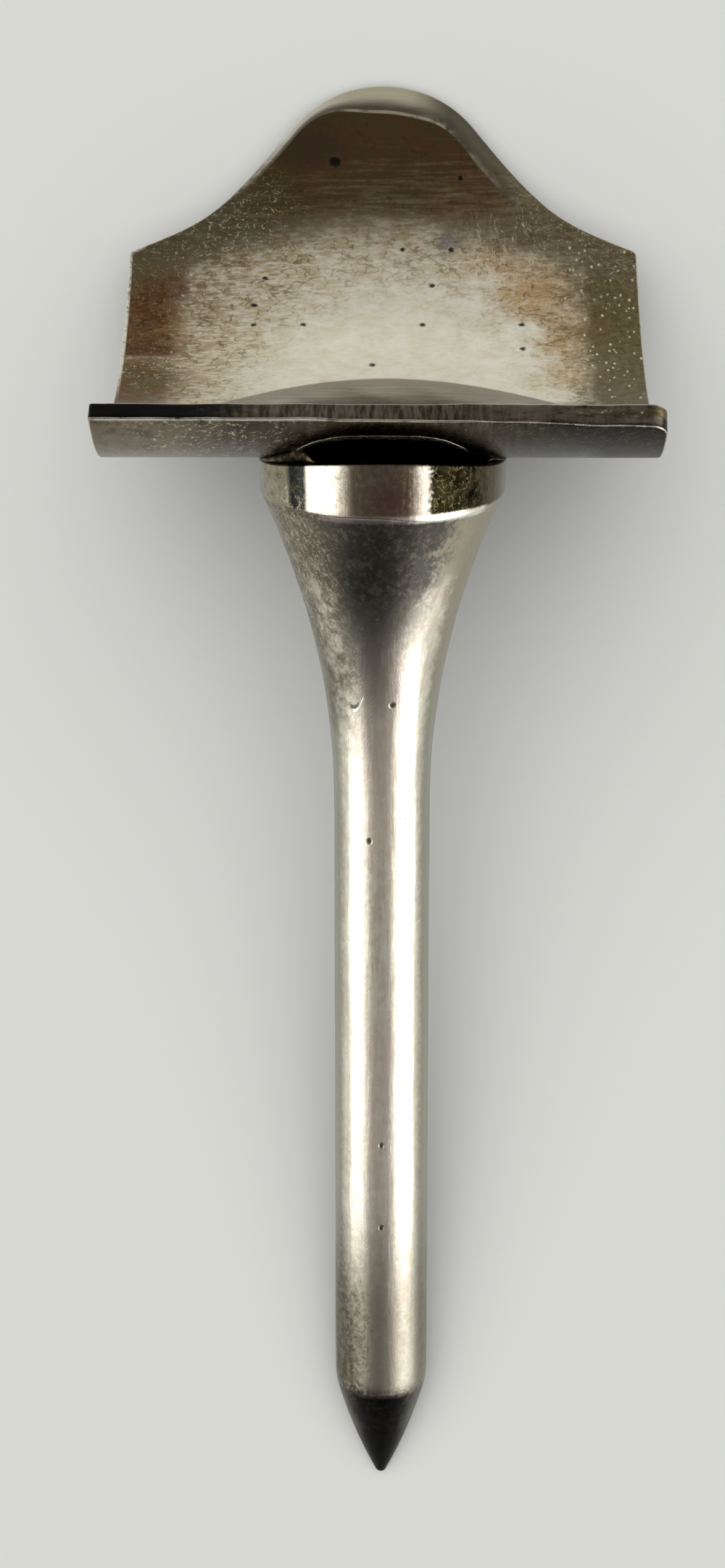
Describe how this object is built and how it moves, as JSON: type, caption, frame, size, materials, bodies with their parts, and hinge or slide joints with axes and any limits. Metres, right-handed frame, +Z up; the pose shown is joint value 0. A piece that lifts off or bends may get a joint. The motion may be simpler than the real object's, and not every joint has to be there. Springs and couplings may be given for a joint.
{
  "type": "divot repair tool",
  "caption": "Golf-tee shaped metal spike with a bent, dome-backed thumb plate soldered across its cup, for lifting pitch marks on a green.",
  "frame": {"origin": "middle of the bottom of the bounding box, with the tool lying on its back on a flat surface", "axes": "+Z up from the surface; -Y the way the spike points, +Y towards the dome of the plate; +X across the plate. The spike leans 17.9 degrees, with its cup raised"},
  "size_m": [0.026, 0.0723, 0.0239],
  "materials": {
    "spike_silver": "polished silver, worn, with light brown tarnish and fine scratches",
    "plate_silver": "polished sheet silver, worn, with brown and orange tarnish, brushed lines and pits",
    "solder": "silver solder, dull and yellowish"
  },
  "bodies": {
    "root": {"tee_spike": "spike_silver", "curved_plate": "plate_silver", "solder_fillets": "solder"}
  },
  "joints": []
}
